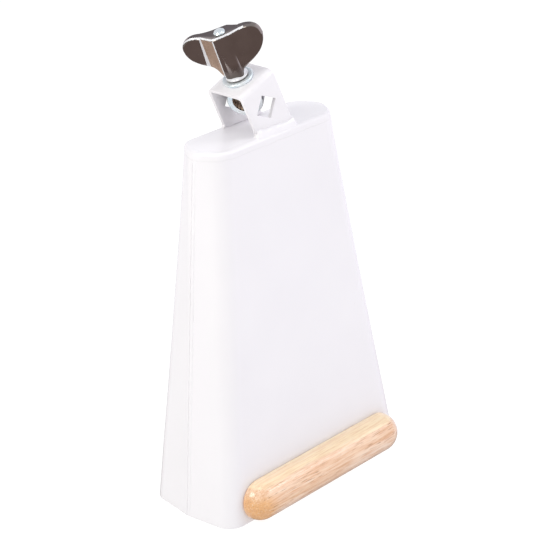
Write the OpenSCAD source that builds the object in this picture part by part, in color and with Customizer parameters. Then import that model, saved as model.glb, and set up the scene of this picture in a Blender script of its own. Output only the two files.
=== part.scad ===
// Mountable cowbell: a welded sheet-steel bell standing on its mouth, a wooden strike bar
// on the front face, and a strap bracket on the crown whose eye bolt, washer and wing nut
// clamp the bell on a rod. Millimetres, +Z up, mouth in the plane z = 0, broad faces
// looking along -Y (front) and +Y (rear), narrow sides along X.

/* [Bell] */
// Height from the mouth to the top of the crown
bell_h = 200; // [190:1:210]
// Width of a broad face at the mouth, between the corners before rounding
mouth_w = 131.6; // [126:0.2:136]
// Depth of the bell at the mouth
mouth_d = 62; // [58:0.5:66]
// How far each narrow side stands out in the middle at the mouth
mouth_bulge = 3.8; // [2:0.1:6]
// Radius of the upright corners at the mouth
mouth_r = 10.5; // [8:0.5:13]
// Width of a broad face at the crown, between the corners before rounding
crown_w = 78.4; // [74:0.2:84]
// Depth of the bell at the crown
crown_d = 30; // [28:0.5:33]
// How far each narrow side stands out in the middle at the crown
crown_bulge = 6.9; // [4:0.1:8]
// Radius of the upright corners at the crown
crown_r = 9; // [6:0.1:10]
// Thickness of the shell's sheet
sheet_t = 1.5; // [1.2:0.1:2]
// Thickness of the crown plate
crown_t = 2; // [1.5:0.1:2.5]

/* [Bracket] */
// Width of the strap
strap_w = 24; // [22:0.5:26]
// Thickness of the strap
strap_t = 1.9; // [1.5:0.1:2.2]
// Distance between the outer faces of the two legs
strap_span = 25.2; // [25:0.2:26]
// Position of the strap's middle along Y, from the bell's middle
strap_y = 0.7; // [0:0.1:1]
// Position of the clamp's stud along Y, from the bell's middle
stud_y = 1.4; // [0.7:0.1:1.4]
// Slope of the strap's top
strap_tilt = 22; // [18:0.5:26]
// Position of the top's centre along X
strap_x = -10.4; // [-12:0.1:-9]
// Height of the top's centre above the crown
strap_h = 28.1; // [27:0.1:30]
// Side of the square rod holes that stand on their corners
rod_hole = 10.3; // [10.2:0.1:11]
// Distance of the rod holes below the top
rod_drop = 14.9; // [14:0.1:16]

/* [Clamp] */
// Diameter of the eye bolt's stud
stud_d = 6; // [5.5:0.1:6.3]
// Outer diameter of the eye
eye_d = 18.6; // [18:0.1:18.8]
// Bore of the eye, for a 9.5 mm rod
eye_bore = 10; // [9.8:0.05:10.1]
// Thickness of the eye
eye_t = 7; // [6:0.1:7.4]
// Distance of the eye's centre below the strap's top
eye_drop = 11.7; // [11.7:0.1:13]
// How far the loose eye is turned away from the rod holes
eye_turn = 55; // [0:1:60]
// Diameter of the washer
washer_d = 16; // [14:0.5:18]
// Thickness of the washer
washer_t = 1.6; // [1.2:0.1:2]
// Half the span of the wing nut
wing_reach = 21; // [20:0.1:23]
// Turn of the wings about the stud
wing_turn = -49; // [-180:1:180]

/* [Strike bar] */
// Length of the bar
bar_l = 114.5; // [110:0.5:118]
// Height of the bar
bar_h = 22.2; // [20:0.2:22.6]
// Depth of the bar
bar_d = 12.8; // [12:0.1:15]
// Gap between the bar and the plane of the mouth
bar_gap = 0.3; // [0.3:0.1:1]
// Position of the bar's middle along X
bar_x = 1; // [-1:0.1:2]
// Distance between the two screws
screw_pitch = 72; // [60:1:84]

/* [Hidden] */
$fn = 72;

shell_h = bell_h - crown_t;
shell_n = 8;
corner_n = 8;
lean = atan2((mouth_d - crown_d) / 2, bell_h);
bar_r = bar_h / 2;
bar_mid = bar_gap + bar_r;
// the bell stands behind the middle of the whole, which the bar puts forward
shift_y = (bar_d * cos(lean) - bar_mid * sin(lean)) / 2;
rim_in = 2.2;
weld_lap = 0.6;
head_r = 3.4;
head_h = 1.9;
shank_r = 1.75;
shank_in = 9;
run = 0.05;

white = [0.95, 0.95, 0.95];
zinc = [0.72, 0.76, 0.78];

function unit(v) = v / norm(v);
function mix(a, b, f) = a + (b - a) * f;

// points of a round of radius r in the corner B between A and C
function corner(A, B, C, r, n) =
    let (u = unit(A - B), v = unit(C - B), h = acos(u * v) / 2,
         m = B + unit(u + v) * r / sin(h),
         p = B + u * r / tan(h) - m, q = B + v * r / tan(h) - m,
         a = atan2(p[1], p[0]), w = atan2(q[1], q[0]) - a,
         s = w > 180 ? w - 360 : (w < -180 ? w + 360 : w))
    [for (i = [0 : n]) m + r * [cos(a + s * i / n), sin(a + s * i / n)]];

// front half of the bell's plan at height z, moved in by t, from the left seam to the right
function half_plan(z, t) =
    let (f = z / bell_h,
         a0 = mix(mouth_w, crown_w, f) / 2, b0 = mix(mouth_bulge, crown_bulge, f),
         d0 = mix(mouth_d, crown_d, f) / 2, r0 = mix(mouth_r, crown_r, f),
         d = d0 - t, b = b0 * d / d0, a = a0 + b0 - t * norm([b0, d0]) / d0 - b,
         r = max(r0 - t, 0.8))
    concat([[-a - b, 0]],
           corner([-a - b, 0], [-a, -d], [a, -d], r, corner_n),
           corner([-a, -d], [a, -d], [a + b, 0], r, corner_n),
           [[a + b, 0]]);

function full_plan(z, t) =
    let (h = half_plan(z, t), n = len(h))
    concat(h, [for (i = [n - 2 : -1 : 1]) [h[i][0], -h[i][1]]]);

function at_z(plan, z) = [for (p = plan) [p[0], p[1], z]];

// side faces between closed rings of n points, ring j to ring k; the diagonals mirror from left
// to right and from front to rear, and flip turns them for a band that runs downwards
function band(j, k, n, flip = false) =
    [for (i = [0 : n - 1])
        let (e = (i + 1) % n, h = floor(n / 2), lead = (i % h) <= floor((h - 1) / 2))
        each (lead != flip
            ? [[j * n + i, k * n + i, k * n + e], [j * n + i, k * n + e, j * n + e]]
            : [[j * n + i, k * n + i, j * n + e], [j * n + e, k * n + i, k * n + e]])];

// a solid through a stack of closed rings
module stack(rings) {
    n = len(rings[0]);
    m = len(rings);
    polyhedron(points = [for (g = rings) each g],
        faces = concat([[for (i = [0 : n - 1]) i]],
            [for (j = [0 : m - 2]) each band(j, j + 1, n)],
            [[for (i = [n - 1 : -1 : 0]) (m - 1) * n + i]]));
}

// a closed ring of constant section through a cycle of closed rings
module hoop(rings) {
    n = len(rings[0]);
    m = len(rings);
    polyhedron(points = [for (g = rings) each g],
        faces = [for (j = [0 : m - 1]) each band(j, (j + 1) % m, n, j == m - 2)]);
}

// the rounded edge of the crown: quarter ellipse from the shell's top to the crown's top
function rim_ring(k) =
    let (z = shell_h + crown_t * sin(k), t = rim_in * (1 - cos(k))) at_z(full_plan(z, t), z);

// everything inside the bell's outer skin
module envelope() {
    stack(concat([for (i = [0 : shell_n - 1]) let (z = shell_h * i / shell_n) at_z(full_plan(z, 0), z)],
                 [for (k = [0 : 15 : 90]) rim_ring(k)]));
}

module half_shell() {
    n = len(half_plan(0, 0));
    l = 2 * n;
    t = shell_n * l;
    polyhedron(points = [for (j = [0 : shell_n]) let (z = shell_h * j / shell_n, in = half_plan(z, sheet_t)) each
            concat(at_z(half_plan(z, 0), z), at_z([for (i = [n - 1 : -1 : 0]) in[i]], z))],
        faces = concat([for (j = [0 : shell_n - 1]) each band(j, j + 1, l)],
            [for (i = [0 : n - 2]) [i, i + 1, l - 2 - i, l - 1 - i]],
            [for (i = [0 : n - 2]) [t + l - 1 - i, t + l - 2 - i, t + i + 1, t + i]]));
}

module in_place() { translate([0, shift_y, 0]) children(); }

// frame of the front face: X across, Y into the bell, Z up the face
module on_face() { translate([0, -mouth_d / 2, 0]) rotate([-lean, 0, 0]) children(); }

// frame of the stud: X along the strap's slope, Z up the stud, origin on the strap's top
module on_stud() { translate([strap_x, stud_y, bell_h + strap_h]) rotate([0, -strap_tilt, 0]) children(); }

module at_screws() { for (s = [-1, 1]) translate([bar_x + s * screw_pitch / 2, 0, bar_mid]) children(); }

module front_shell() {
    color(white) in_place() difference() {
        half_shell();
        on_face() at_screws() rotate([90, 0, 0]) cylinder(r = shank_r + 0.15, h = 20, center = true);
    }
}

module rear_shell() { color(white) in_place() mirror([0, 1, 0]) half_shell(); }

module crown_plate() {
    color(white) in_place()
        stack([at_z(full_plan(shell_h, weld_lap), shell_h), at_z(full_plan(bell_h, rim_in), bell_h)]);
}

module crown_weld() {
    color(white) in_place()
        hoop(concat([for (k = [0 : 15 : 90]) rim_ring(k)], [at_z(full_plan(shell_h, weld_lap), shell_h)]));
}

// a bead along the seam on one narrow side, sunk so that a low crest stands out
module seam_bead(side) {
    p = [-(mouth_w / 2 + mouth_bulge), 0, 0];
    q = [-(crown_w / 2 + crown_bulge), 0, bell_h];
    tip = atan2(q[0] - p[0], bell_h);
    r = 1.7;
    mirror([side > 0 ? 1 : 0, 0, 0]) in_place() difference() {
        translate(p) rotate([0, tip, 0]) translate([1.15, 0, 1.5]) cylinder(r = r, h = shell_h - 6);
        envelope();
    }
}

module left_seam_weld() { color(white) seam_bead(-1); }
module right_seam_weld() { color(white) seam_bead(1); }

// outline of the strap across the legs, w wide, with rounded shoulders
module shoulders(w, h, r) {
    translate([-w / 2, -h]) square([w, h - r]);
    translate([-w / 2 + r, -h]) square([w - 2 * r, h]);
    for (s = [-1, 1]) translate([s * (w / 2 - r), -r]) circle(r = r);
}

module strap_blank() {
    translate([0, strap_y - stud_y, 0]) rotate([90, 0, 90]) linear_extrude(strap_w, center = true) difference() {
        shoulders(strap_span, 50, 3);
        translate([0, -strap_t]) shoulders(strap_span - 2 * strap_t, 50, 1.1);
    }
}

module below_crown() { translate([-100, -100, bell_h - 80]) cube([200, 200, 80]); }

module strap_bracket() {
    color(white) in_place() difference() {
        on_stud() difference() {
            strap_blank();
            translate([0, 0, -rod_drop]) rotate([0, 45, 0]) cube([rod_hole, 60, rod_hole], center = true);
            cylinder(d = stud_d + 1, h = 20, center = true);
        }
        below_crown();
    }
}

// fillet of weld of radius r along a leg's foot, on its outer side at distance y
module leg_weld(y, r) {
    x0 = strap_x + tan(strap_tilt) * strap_h - strap_w / 2 / cos(strap_tilt);
    x1 = x0 + strap_w / cos(strap_tilt);
    difference() {
        union() {
            translate([x0 + 0.5, -y, bell_h]) rotate([0, 90, 0]) cylinder(r = r, h = x1 - x0 + 0.5);
            translate([x0 + 0.5, -y, bell_h]) sphere(r = r);
            translate([x1 + 1, -y, bell_h]) sphere(r = r);
        }
        translate([-100, -y, bell_h - 20]) cube([200, 60, 60]);
        envelope();
    }
}

module front_bracket_weld() { color(white) in_place() leg_weld(strap_span / 2 - strap_y, 2.8); }
module rear_bracket_weld() { color(white) in_place() mirror([0, 1, 0]) leg_weld(strap_span / 2 + strap_y, 2); }

module eye_bolt() {
    h = eye_t / 2;
    b = eye_bore / 2;
    o = eye_d / 2;
    color(zinc) in_place() on_stud() {
        translate([0, 0, -eye_drop]) rotate([0, 0, -eye_turn]) rotate([90, 0, 0]) rotate_extrude()
            polygon([[b, -h + 1.4], [b + 1.5, -h], [o - 0.6, -h], [o, -h + 0.6],
                     [o, h - 0.6], [o - 0.6, h], [b + 1.5, h], [b, h - 1.4]]);
        translate([0, 0, -eye_drop + o - 1.3]) cylinder(d = stud_d, h = eye_drop - o + 1.3 + 29.6);
        translate([0, 0, 29.6]) cylinder(d1 = stud_d, d2 = stud_d - 1.4, h = 0.7);
    }
}

module flat_washer() {
    color(zinc) in_place() on_stud() difference() {
        translate([0, 0, run]) cylinder(d = washer_d, h = washer_t);
        cylinder(d = stud_d + 0.6, h = 20, center = true);
    }
}

// outline of the wings seen square on: two round ears above a narrow foot
module wing_outline(z0) {
    c = [wing_reach - 7.4, 24];
    for (s = [-1, 1]) {
        translate([s * c[0], c[1]]) circle(r = 7.4);
        polygon([[0, z0 + 1.5], [s * 5, z0 + 1.5], [s * 5.4, 5], [s * (c[0] + 5.1), c[1] - 5.5], [s * c[0], c[1]],
                 [s * c[0], c[1] + 7.4], [s * (c[0] - 4), c[1] + 6.9], [s * (c[0] - 8), c[1] + 5.6],
                 [s * 3, 28.7], [0, 28.5]]);
    }
}

module wing_nut() {
    z0 = washer_t + 2 * run;
    color([0.35, 0.31, 0.29]) in_place() on_stud() rotate([0, 0, wing_turn]) difference() {
        union() {
            rotate([90, 0, 0]) linear_extrude(4.6, center = true) wing_outline(z0);
            translate([0, 0, z0]) cylinder(r = 5.9, h = 2.6);
            translate([0, 0, z0 + 2.6]) cylinder(r1 = 5.5, r2 = 6.2, h = 28.5 - z0 - 2.6);
        }
        cylinder(d = stud_d + 2 * run, h = 80, center = true);
    }
}

module strike_bar() {
    e = bar_d - bar_r;
    x = bar_l / 2 - bar_r;
    color([0.87, 0.68, 0.47]) in_place() on_face() difference() {
        translate([bar_x, 0, bar_mid]) union() {
            intersection() {
                translate([0, -e, 0]) union() {
                    rotate([0, 90, 0]) cylinder(r = bar_r, h = 2 * x, center = true);
                    for (s = [-1, 1]) translate([s * x, 0, 0]) sphere(r = bar_r);
                }
                translate([-100, -100 - e, -50]) cube([200, 100, 100]);
            }
            translate([-x, -e, -bar_r]) cube([2 * x, e, bar_h]);
            for (s = [-1, 1]) translate([s * x, 0, 0]) rotate([90, 0, 0]) cylinder(r = bar_r, h = e);
        }
        at_screws() rotate([90, 0, 0]) cylinder(r = shank_r, h = shank_in);
    }
}

module bar_screws() {
    color(zinc) in_place() on_face() at_screws() {
        rotate([90, 0, 0]) translate([0, 0, -sheet_t]) cylinder(r = shank_r, h = shank_in + sheet_t);
        translate([0, sheet_t, 0]) rotate([-90, 0, 0]) difference() {
            cylinder(r1 = head_r, r2 = head_r - 0.5, h = head_h);
            translate([0, 0, head_h]) for (a = [0, 90]) rotate([0, 0, a]) cube([4, 0.9, 2], center = true);
        }
    }
}

front_shell();
rear_shell();
crown_plate();
crown_weld();
left_seam_weld();
right_seam_weld();
strap_bracket();
front_bracket_weld();
rear_bracket_weld();
eye_bolt();
flat_washer();
wing_nut();
strike_bar();
bar_screws();
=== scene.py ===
"""Looks of the mountable cowbell: a glossy white steel bell with a wooden strike bar, a strap
bracket on the crown, and an eye bolt, washer and wing nut that clamp it on a rod."""
import math
import bpy
import bmesh
import numpy as np
from mathutils import Matrix, Vector


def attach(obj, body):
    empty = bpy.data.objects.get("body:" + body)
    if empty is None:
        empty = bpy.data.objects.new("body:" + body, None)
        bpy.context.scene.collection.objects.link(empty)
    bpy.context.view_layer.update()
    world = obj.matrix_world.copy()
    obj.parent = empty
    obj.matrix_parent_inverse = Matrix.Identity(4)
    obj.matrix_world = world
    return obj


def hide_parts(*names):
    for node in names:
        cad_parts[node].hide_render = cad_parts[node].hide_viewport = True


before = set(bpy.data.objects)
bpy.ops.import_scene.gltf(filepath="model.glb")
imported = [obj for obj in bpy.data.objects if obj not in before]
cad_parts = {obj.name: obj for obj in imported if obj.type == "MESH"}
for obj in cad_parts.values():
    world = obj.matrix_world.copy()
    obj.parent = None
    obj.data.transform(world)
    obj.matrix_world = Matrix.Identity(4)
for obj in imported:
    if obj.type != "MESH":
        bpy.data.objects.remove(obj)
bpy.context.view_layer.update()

# ---------------------------------------------------------------- dimensions, millimetres
BELL_H, SHELL_H, SHEET = 200.0, 198.0, 1.5
MOUTH = dict(w=131.6, d=62.0, b=3.8, r=10.5)
CROWN = dict(w=78.4, d=30.0, b=6.9, r=11.0)
LEAN = math.atan2((MOUTH["d"] - CROWN["d"]) / 2, BELL_H)
BAR_R, BAR_D, BAR_L, BAR_MID, BAR_X = 11.1, 12.8, 114.5, 11.4, 1.0
SY = (BAR_D * math.cos(LEAN) - BAR_MID * math.sin(LEAN)) / 2
TILT = math.radians(22)
E1 = np.array([math.cos(TILT), 0.0, math.sin(TILT)])
E2 = np.array([0.0, 1.0, 0.0])
E3 = np.array([-math.sin(TILT), 0.0, math.cos(TILT)])
STUD = np.array([-10.4, 1.4, 228.1])
STRAP_Y = 0.7
STRAP_W, STRAP_T, SPAN = 24.0, 1.9, 25.2
EYE_DROP, EYE_TURN = 11.7, math.radians(-55)
WING_TURN = math.radians(-49)


def mix(a, b, f):
    return a + (b - a) * f


def smooth(a, b, x):
    t = np.clip((np.asarray(x, float) - a) / (b - a), 0, 1)
    return t * t * (3 - 2 * t)


def ripple(x, seed, waves=5, base=1.0):
    """A smooth wavy function of x, about -1 to 1, the same on every run."""
    rng = np.random.default_rng(seed)
    x = np.asarray(x, float)
    out = np.zeros_like(x)
    for i in range(waves):
        out = out + np.sin(x * base * (1 + 0.73 * i) + rng.uniform(0, 2 * math.pi)) / (1 + 0.5 * i)
    return out / 2.2


def on_stud(p):
    """Points given along the strap's slope, across it and up the stud, in the bell's frame."""
    p = np.asarray(p, float)
    return STUD + p[..., :1] * E1 + p[..., 1:2] * E2 + p[..., 2:3] * E3


def on_face(p):
    """Points given across the front face, into the bell and up the face, in the bell's frame."""
    p = np.asarray(p, float)
    c, s = math.cos(LEAN), math.sin(LEAN)
    return np.stack([p[..., 0], -MOUTH["d"] / 2 + p[..., 1] * c + p[..., 2] * s,
                     -p[..., 1] * s + p[..., 2] * c], -1)


# ---------------------------------------------------------------- mesh helpers
def row_frame(v):
    v = np.asarray(v, float) + np.array([0.0, SY, 0.0])
    return v * 0.001


def new_object(name, me):
    ob = bpy.data.objects.new(name, me)
    bpy.context.scene.collection.objects.link(ob)
    return ob


def raw_mesh(name, verts, faces, fmat=None, weld=1e-6):
    me = bpy.data.meshes.new(name)
    me.from_pydata(row_frame(verts).tolist(), [], [list(map(int, f)) for f in faces])
    if fmat is not None:
        me.polygons.foreach_set("material_index", np.asarray(fmat, np.int32))
    bm = bmesh.new()
    bm.from_mesh(me)
    bmesh.ops.remove_doubles(bm, verts=bm.verts, dist=weld)
    bmesh.ops.dissolve_degenerate(bm, edges=bm.edges, dist=weld)
    bmesh.ops.recalc_face_normals(bm, faces=bm.faces)
    bm.to_mesh(me)
    bm.free()
    return me


def finish_piece(name, me, mats, body, node, angle=35):
    for m in mats:
        me.materials.append(m)
    me.shade_smooth()
    me.set_sharp_from_angle(angle=math.radians(angle))
    ob = new_object(name, me)
    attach(ob, body)
    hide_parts(node)
    return ob


def grid_faces(rows, cols, wrap_rows=False, wrap_cols=False, base=0):
    f = []
    for i in range(rows if wrap_rows else rows - 1):
        for j in range(cols if wrap_cols else cols - 1):
            a, b = i, (i + 1) % rows
            c, d = j, (j + 1) % cols
            f.append((base + a * cols + c, base + a * cols + d, base + b * cols + d, base + b * cols + c))
    return f


def revolve(profile, n, to_world, closed=True, phase=0.0, shape=None):
    """A ring solid from a closed profile of (radius, height) about a local axis."""
    prof = np.asarray(profile, float)
    th = phase + np.arange(n) * 2 * math.pi / n
    pts = np.zeros((n, len(prof), 3))
    for i, t in enumerate(th):
        r = prof[:, 0] if shape is None else shape(prof[:, 0], prof[:, 1], t)
        pts[i] = np.stack([r * math.cos(t), r * math.sin(t), prof[:, 1]], -1)
    return to_world(pts.reshape(-1, 3)), grid_faces(n, len(prof), True, closed)


def evaluated(ob):
    dg = bpy.context.evaluated_depsgraph_get()
    dg.update()
    return bpy.data.meshes.new_from_object(ob.evaluated_get(dg))


def tidy(me):
    """A cut mesh without flat leftovers: near points merged, many-sided faces split into sound triangles."""
    bm = bmesh.new()
    bm.from_mesh(me)
    bmesh.ops.remove_doubles(bm, verts=bm.verts, dist=4e-6)
    bmesh.ops.dissolve_degenerate(bm, edges=bm.edges, dist=4e-6)
    bmesh.ops.triangulate(bm, faces=bm.faces, quad_method="BEAUTY", ngon_method="BEAUTY")
    bmesh.ops.dissolve_degenerate(bm, edges=bm.edges, dist=4e-6)
    bmesh.ops.triangulate(bm, faces=bm.faces, quad_method="BEAUTY", ngon_method="BEAUTY")
    bm.to_mesh(me)
    bm.free()
    return me


def carve(me, cutters):
    """The mesh with closed cutter meshes taken away."""
    ob = new_object("carve_target", me)
    obs = []
    for i, c in enumerate(cutters):
        co = new_object("carve_tool_%d" % i, c)
        obs.append(co)
        m = ob.modifiers.new("cut%d" % i, "BOOLEAN")
        m.operation = "DIFFERENCE"
        m.solver = "MANIFOLD"
        m.object = co
    out = evaluated(ob)
    for o in [ob] + obs:
        bpy.data.objects.remove(o)
    out.materials.clear()
    return out


def bevelled(me, width_mm, segments=3, angle=40):
    ob = new_object("bevel_target", me)
    m = ob.modifiers.new("bevel", "BEVEL")
    m.width = width_mm * 0.001
    m.segments = segments
    m.limit_method = "ANGLE"
    m.angle_limit = math.radians(angle)
    m.use_clamp_overlap = True
    out = evaluated(ob)
    bpy.data.objects.remove(ob)
    out.materials.clear()
    return out


# ---------------------------------------------------------------- materials
def material(name):
    m = bpy.data.materials.new(name)
    m.use_nodes = True
    nt = m.node_tree
    bsdf = nt.nodes["Principled BSDF"]
    return m, nt, bsdf


def node(nt, kind, **values):
    n = nt.nodes.new(kind)
    for k, v in values.items():
        if k in n.inputs:
            n.inputs[k].default_value = v
        else:
            setattr(n, k, v)
    return n


def coords(nt, scale=(1, 1, 1), rotation=(0, 0, 0), location=(0, 0, 0)):
    tc = node(nt, "ShaderNodeTexCoord")
    mp = node(nt, "ShaderNodeMapping")
    mp.inputs["Scale"].default_value = scale
    mp.inputs["Rotation"].default_value = rotation
    mp.inputs["Location"].default_value = location
    nt.links.new(tc.outputs["Object"], mp.inputs["Vector"])
    return mp.outputs["Vector"]


def noise(nt, vec, scale, detail=3.0, rough=0.5, distortion=0.0):
    n = node(nt, "ShaderNodeTexNoise")
    n.inputs["Scale"].default_value = scale
    n.inputs["Detail"].default_value = detail
    n.inputs["Roughness"].default_value = rough
    n.inputs["Distortion"].default_value = distortion
    nt.links.new(vec, n.inputs["Vector"])
    return n.outputs["Fac"]


def remap(nt, value, a, b, c, d, smooth_step=False):
    n = node(nt, "ShaderNodeMapRange")
    n.interpolation_type = "SMOOTHSTEP" if smooth_step else "LINEAR"
    n.inputs["From Min"].default_value = a
    n.inputs["From Max"].default_value = b
    n.inputs["To Min"].default_value = c
    n.inputs["To Max"].default_value = d
    nt.links.new(value, n.inputs["Value"])
    return n.outputs["Result"]


def math_node(nt, op, a, b=None):
    n = node(nt, "ShaderNodeMath")
    n.operation = op
    for i, v in enumerate((a, b)):
        if v is None:
            continue
        if isinstance(v, (int, float)):
            n.inputs[i].default_value = v
        else:
            nt.links.new(v, n.inputs[i])
    return n.outputs["Value"]


def blend_colour(nt, fac, a, b, mode="MIX"):
    n = node(nt, "ShaderNodeMix")
    n.data_type = "RGBA"
    n.blend_type = mode
    for sock, v in ((n.inputs[0], fac), (n.inputs[6], a), (n.inputs[7], b)):
        if isinstance(v, (int, float)):
            sock.default_value = v
        elif isinstance(v, tuple):
            sock.default_value = (*v, 1.0)
        else:
            nt.links.new(v, sock)
    return n.outputs[2]


def bump(nt, height, bsdf, distance, strength=1.0, under=None):
    n = node(nt, "ShaderNodeBump")
    n.inputs["Distance"].default_value = distance
    n.inputs["Strength"].default_value = strength
    nt.links.new(height, n.inputs["Height"])
    if under is not None:
        nt.links.new(under, n.inputs["Normal"])
    nt.links.new(n.outputs["Normal"], bsdf.inputs["Normal"])
    return n.outputs["Normal"]


def enamel():
    """Gloss white enamel: a faint drift of tone, a few dust specks under the gloss, orange peel."""
    m, nt, b = material("white_enamel")
    v = coords(nt)
    tone = remap(nt, noise(nt, v, 26.0, 2.0), 0.3, 0.7, 0.0, 1.0)
    col = blend_colour(nt, tone, (0.875, 0.857, 0.882), (0.895, 0.877, 0.900))
    vor = node(nt, "ShaderNodeTexVoronoi")
    vor.inputs["Scale"].default_value = 70.0
    nt.links.new(v, vor.inputs["Vector"])
    dot = remap(nt, vor.outputs["Distance"], 0.010, 0.020, 1.0, 0.0)
    sep = node(nt, "ShaderNodeSeparateColor")
    nt.links.new(vor.outputs["Color"], sep.inputs["Color"])
    some = math_node(nt, "GREATER_THAN", sep.outputs[0], 0.86)
    speck = math_node(nt, "MULTIPLY", math_node(nt, "MULTIPLY", dot, some), 0.45)
    col = blend_colour(nt, speck, col, (0.45, 0.42, 0.40))
    nt.links.new(col, b.inputs["Base Color"])
    nt.links.new(remap(nt, noise(nt, v, 60.0, 3.0), 0.3, 0.7, 0.13, 0.2), b.inputs["Roughness"])
    b.inputs["IOR"].default_value = 1.5
    peel = noise(nt, v, 520.0, 2.0)
    bump(nt, peel, b, 0.00001, 0.35)
    return m


def zinc():
    """Bright zinc plating with a cool passivation tint."""
    m, nt, b = material("bright_zinc")
    v = coords(nt)
    tint = remap(nt, noise(nt, v, 180.0, 2.0), 0.35, 0.65, 0.0, 1.0)
    col = blend_colour(nt, tint, (0.80, 0.91, 0.96), (0.92, 0.97, 0.99))
    nt.links.new(col, b.inputs["Base Color"])
    b.inputs["Metallic"].default_value = 0.5
    nt.links.new(remap(nt, noise(nt, v, 700.0, 4.0), 0.3, 0.7, 0.10, 0.20), b.inputs["Roughness"])
    bump(nt, noise(nt, v, 1600.0, 3.0), b, 0.00001, 0.15)
    return m


def shade_edge_zinc():
    """Painted shade: a dark grey outline on the ring's outer rounded edge."""
    m, nt, b = material("zinc_edge_painted_shade")
    v = coords(nt)
    f = remap(nt, noise(nt, v, 420.0, 3.0), 0.3, 0.7, 0.0, 1.0)
    nt.links.new(blend_colour(nt, f, (0.16, 0.16, 0.17), (0.24, 0.24, 0.25)), b.inputs["Base Color"])
    b.inputs["Metallic"].default_value = 1.0
    nt.links.new(remap(nt, f, 0.0, 1.0, 0.28, 0.42), b.inputs["Roughness"])
    bump(nt, noise(nt, v, 1500.0, 3.0), b, 0.00002, 0.4)
    return m


def bore_painted_shade():
    """The eye's toothed bore: brownish plating darkened with painted shade."""
    m, nt, b = material("toothed_bore_painted_shade")
    v = coords(nt)
    f = remap(nt, noise(nt, v, 500.0, 4.0), 0.35, 0.65, 0.0, 1.0)
    nt.links.new(blend_colour(nt, f, (0.05, 0.032, 0.02), (0.34, 0.25, 0.18)), b.inputs["Base Color"])
    b.inputs["Metallic"].default_value = 1.0
    nt.links.new(remap(nt, f, 0.0, 1.0, 0.12, 0.28), b.inputs["Roughness"])
    bump(nt, noise(nt, v, 1400.0, 3.0), b, 0.00008, 0.8)
    return m


def chrome():
    """Polished chrome on a die casting: mirror gloss, faint casting waves and finger haze; painted shade darkens the
    hub near its foot.
    """
    m, nt, b = material("casting_chrome")
    v = coords(nt)
    f = remap(nt, noise(nt, v, 120.0, 3.0), 0.35, 0.65, 0.0, 1.0)
    # height above the strap: painted shade darkens the hub's colour near its foot, above the washer, and the chrome is
    # rougher there
    tc = node(nt, "ShaderNodeTexCoord")
    dot = node(nt, "ShaderNodeVectorMath")
    dot.operation = "DOT_PRODUCT"
    nt.links.new(tc.outputs["Object"], dot.inputs[0])
    dot.inputs[1].default_value = E3.tolist()
    foot = float((STUD + np.array([0.0, SY, 0.0])) @ E3) * 0.001
    low = remap(nt, dot.outputs["Value"], foot + 0.0035, foot + 0.0125, 1.0, 0.0, True)
    col = blend_colour(nt, f, (0.33, 0.288, 0.266), (0.37, 0.326, 0.302))
    nt.links.new(blend_colour(nt, math_node(nt, "MULTIPLY", low, 0.85), col, (0.165, 0.142, 0.132)), b.inputs["Base Color"])
    b.inputs["Metallic"].default_value = 1.0
    gloss = remap(nt, noise(nt, v, 300.0, 4.0, 0.6), 0.3, 0.7, 0.05, 0.13)
    nt.links.new(math_node(nt, "ADD", gloss, math_node(nt, "MULTIPLY", low, 0.30)), b.inputs["Roughness"])
    wave = noise(nt, v, 170.0, 2.0)
    n1 = bump(nt, wave, b, 0.00005, 0.35)
    bump(nt, noise(nt, v, 1500.0, 3.0), b, 0.00001, 0.3, n1)
    return m


def painted_highlight_edge():
    """Painted highlight on the casting's edges and foot collar: a pale colour standing in for the reflection of bright
    lights.
    """
    m, nt, b = material("edge_painted_highlight")
    v = coords(nt)
    f = remap(nt, noise(nt, v, 260.0, 3.0), 0.3, 0.7, 0.0, 1.0)
    nt.links.new(blend_colour(nt, f, (0.80, 0.81, 0.84), (0.90, 0.90, 0.92)), b.inputs["Base Color"])
    b.inputs["Metallic"].default_value = 0.2
    nt.links.new(remap(nt, noise(nt, v, 600.0, 3.0), 0.3, 0.7, 0.16, 0.30), b.inputs["Roughness"])
    bump(nt, noise(nt, v, 1500.0, 3.0), b, 0.00001, 0.3)
    return m


def painted_reflection_flat():
    """The leaning flats of the casting: satin, with a painted warm reflection in their colour."""
    m, nt, b = material("flat_painted_reflection")
    v = coords(nt)
    f = remap(nt, noise(nt, v, 140.0, 3.0), 0.3, 0.7, 0.0, 1.0)
    nt.links.new(blend_colour(nt, f, (0.405, 0.285, 0.215), (0.45, 0.32, 0.243)), b.inputs["Base Color"])
    b.inputs["Metallic"].default_value = 0.4
    nt.links.new(remap(nt, noise(nt, v, 420.0, 3.0), 0.3, 0.7, 0.26, 0.32), b.inputs["Roughness"])
    bump(nt, noise(nt, v, 900.0, 2.0), b, 0.00001, 0.1)
    return m


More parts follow.
